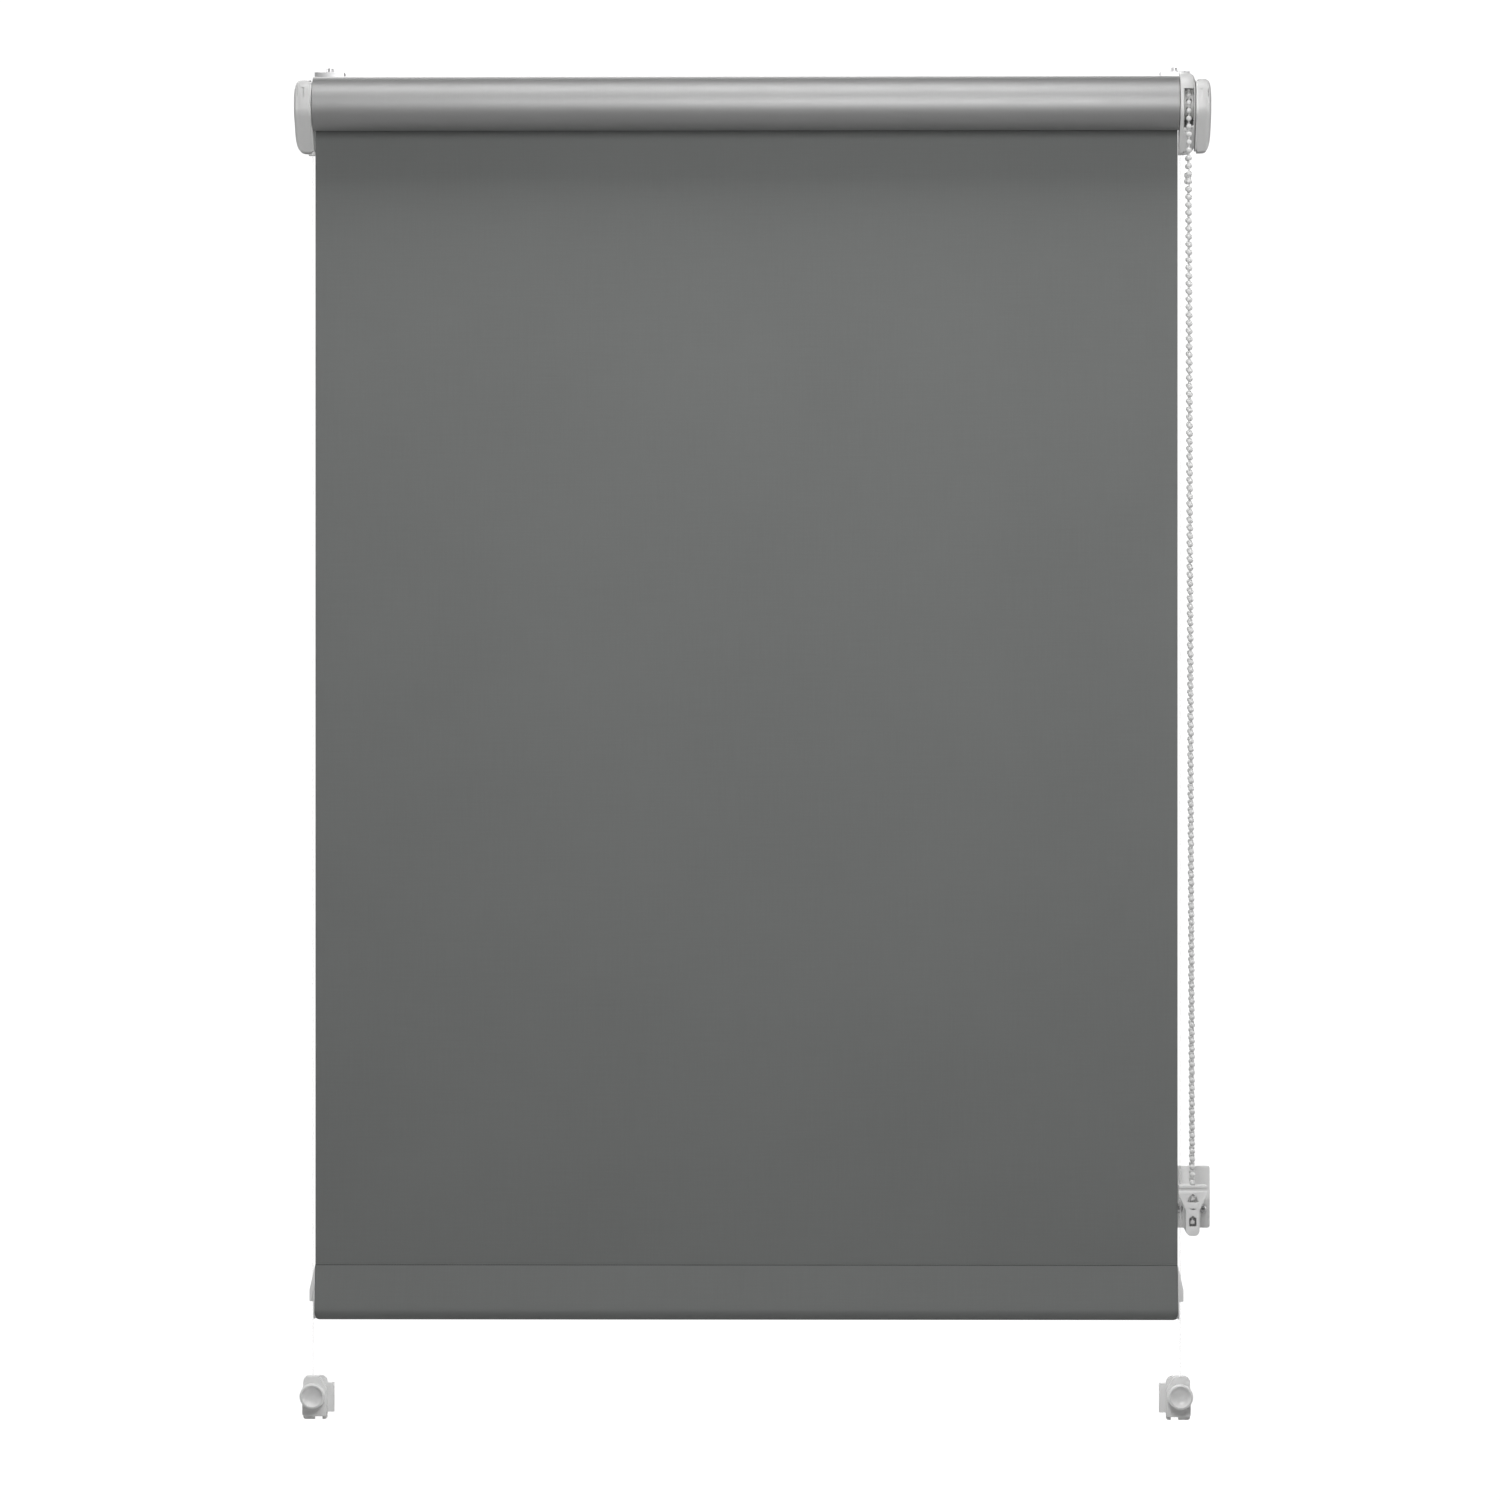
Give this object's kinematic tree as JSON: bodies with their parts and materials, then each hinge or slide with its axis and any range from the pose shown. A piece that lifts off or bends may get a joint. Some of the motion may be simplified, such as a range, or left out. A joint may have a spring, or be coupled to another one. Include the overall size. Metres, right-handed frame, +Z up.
{
  "type": "roller blind",
  "caption": "Clamp-on window roller blind with fabric on a sprung-pin roller, chain drive, weighted hem bar on tensioned guide wires and a screwed chain holder.",
  "frame": {"origin": "middle of the fabric's width, on the room face of the window sash, at the sash's top edge", "axes": "+X to the chain side, +Y into the window, -Y to the room, +Z up"},
  "size_m": [0.6998, 0.0736, 1.0368],
  "materials": {
    "white_plastic": "fine moulded texture, light grey-white",
    "grey_plastic": "smooth moulded",
    "bead_plastic": "smooth beads on a cord",
    "clear_nylon": "clear nylon monofilament",
    "steel": "zinc plated",
    "aluminium": "drawn, matt",
    "grey_fabric": "plain weave, dark grey room side",
    "silver_fabric": "silver coated window side",
    "adhesive_tape": "double sided tape",
    "foam_pad": "closed cell foam with adhesive"
  },
  "bodies": {
    "mounting": {"axle_screw": "steel", "bead_chain": "bead_plastic", "bracket_base_left": "white_plastic", "bracket_base_right": "white_plastic", "chain_connector": "bead_plastic", "chain_holder": "white_plastic", "chain_housing": "white_plastic", "clamp_carrier_left": "steel", "clamp_carrier_right": "steel", "core_axle": "grey_plastic", "end_cover_left": "white_plastic", "end_cover_right": "white_plastic", "fabric_drop": "grey_fabric", "guide_wire_left": "clear_nylon", "guide_wire_right": "clear_nylon", "holder_plate": "white_plastic", "holder_screw_0": "steel", "holder_screw_1": "steel", "tension_base_left": "white_plastic", "tension_base_right": "white_plastic", "tension_housing_left": "white_plastic", "tension_housing_right": "white_plastic", "tension_pad_left": "foam_pad", "tension_pad_right": "foam_pad", "wire_anchor_left": "aluminium", "wire_anchor_right": "aluminium", "wrap_spring": "steel"},
    "jaw_left": {"clamp_jaw_left": "steel", "clamp_screw_left": "steel"},
    "jaw_right": {"clamp_jaw_right": "steel", "clamp_screw_right": "steel"},
    "roller": {"roller_tube": "aluminium", "fabric_tape": "adhesive_tape", "fabric_roll": "silver_fabric", "idle_plug": "grey_plastic", "drive_hub": "grey_plastic", "pin_spring": "steel", "chain_sprocket": "grey_plastic"},
    "idle_pin": {"idle_pin": "steel"},
    "bottom_bar": {"weight_bar": "aluminium", "hem_pocket": "grey_fabric", "bar_cap_left": "white_plastic", "bar_cap_right": "white_plastic"},
    "knob_left": {"tension_knob_left": "white_plastic", "tension_spindle_left": "steel"},
    "knob_right": {"tension_knob_right": "white_plastic", "tension_spindle_right": "steel"}
  },
  "joints": [
    {"name": "jaw_left_slide", "type": "slide", "parent": "mounting", "child": "jaw_left", "axis": [0, 1, 0], "range_m": [-0.004, 0.004]},
    {"name": "jaw_right_slide", "type": "slide", "parent": "mounting", "child": "jaw_right", "axis": [0, 1, 0], "range_m": [-0.004, 0.004]},
    {"name": "roller_spin", "type": "hinge", "parent": "mounting", "child": "roller", "pos_m": [0, -0.0336, -0.024], "axis": [1, 0, 0], "range_deg": [0, 2310]},
    {"name": "bar_lift", "type": "slide", "parent": "mounting", "child": "bottom_bar", "axis": [0, 0, 1], "range_m": [0, 0.8386], "deforming": ["fabric_drop"]},
    {"name": "idle_pin_slide", "type": "slide", "parent": "roller", "child": "idle_pin", "axis": [1, 0, 0], "range_m": [0, 0.0054], "stiffness_N_per_m": 400, "springref_m": -0.006, "deforming": ["pin_spring"]},
    {"name": "knob_left_turn", "type": "hinge", "parent": "mounting", "child": "knob_left", "pos_m": [-0.3319, -0.02, -1.0113], "axis": [0, -1, 0], "range_deg": [0, 360]},
    {"name": "knob_right_turn", "type": "hinge", "parent": "mounting", "child": "knob_right", "pos_m": [0.3319, -0.02, -1.0113], "axis": [0, -1, 0], "range_deg": [0, 360]}
  ],
  "couplings": [
    {"joint": "bar_lift", "follows": "roller_spin", "m_per_rad": 0.0208}
  ]
}
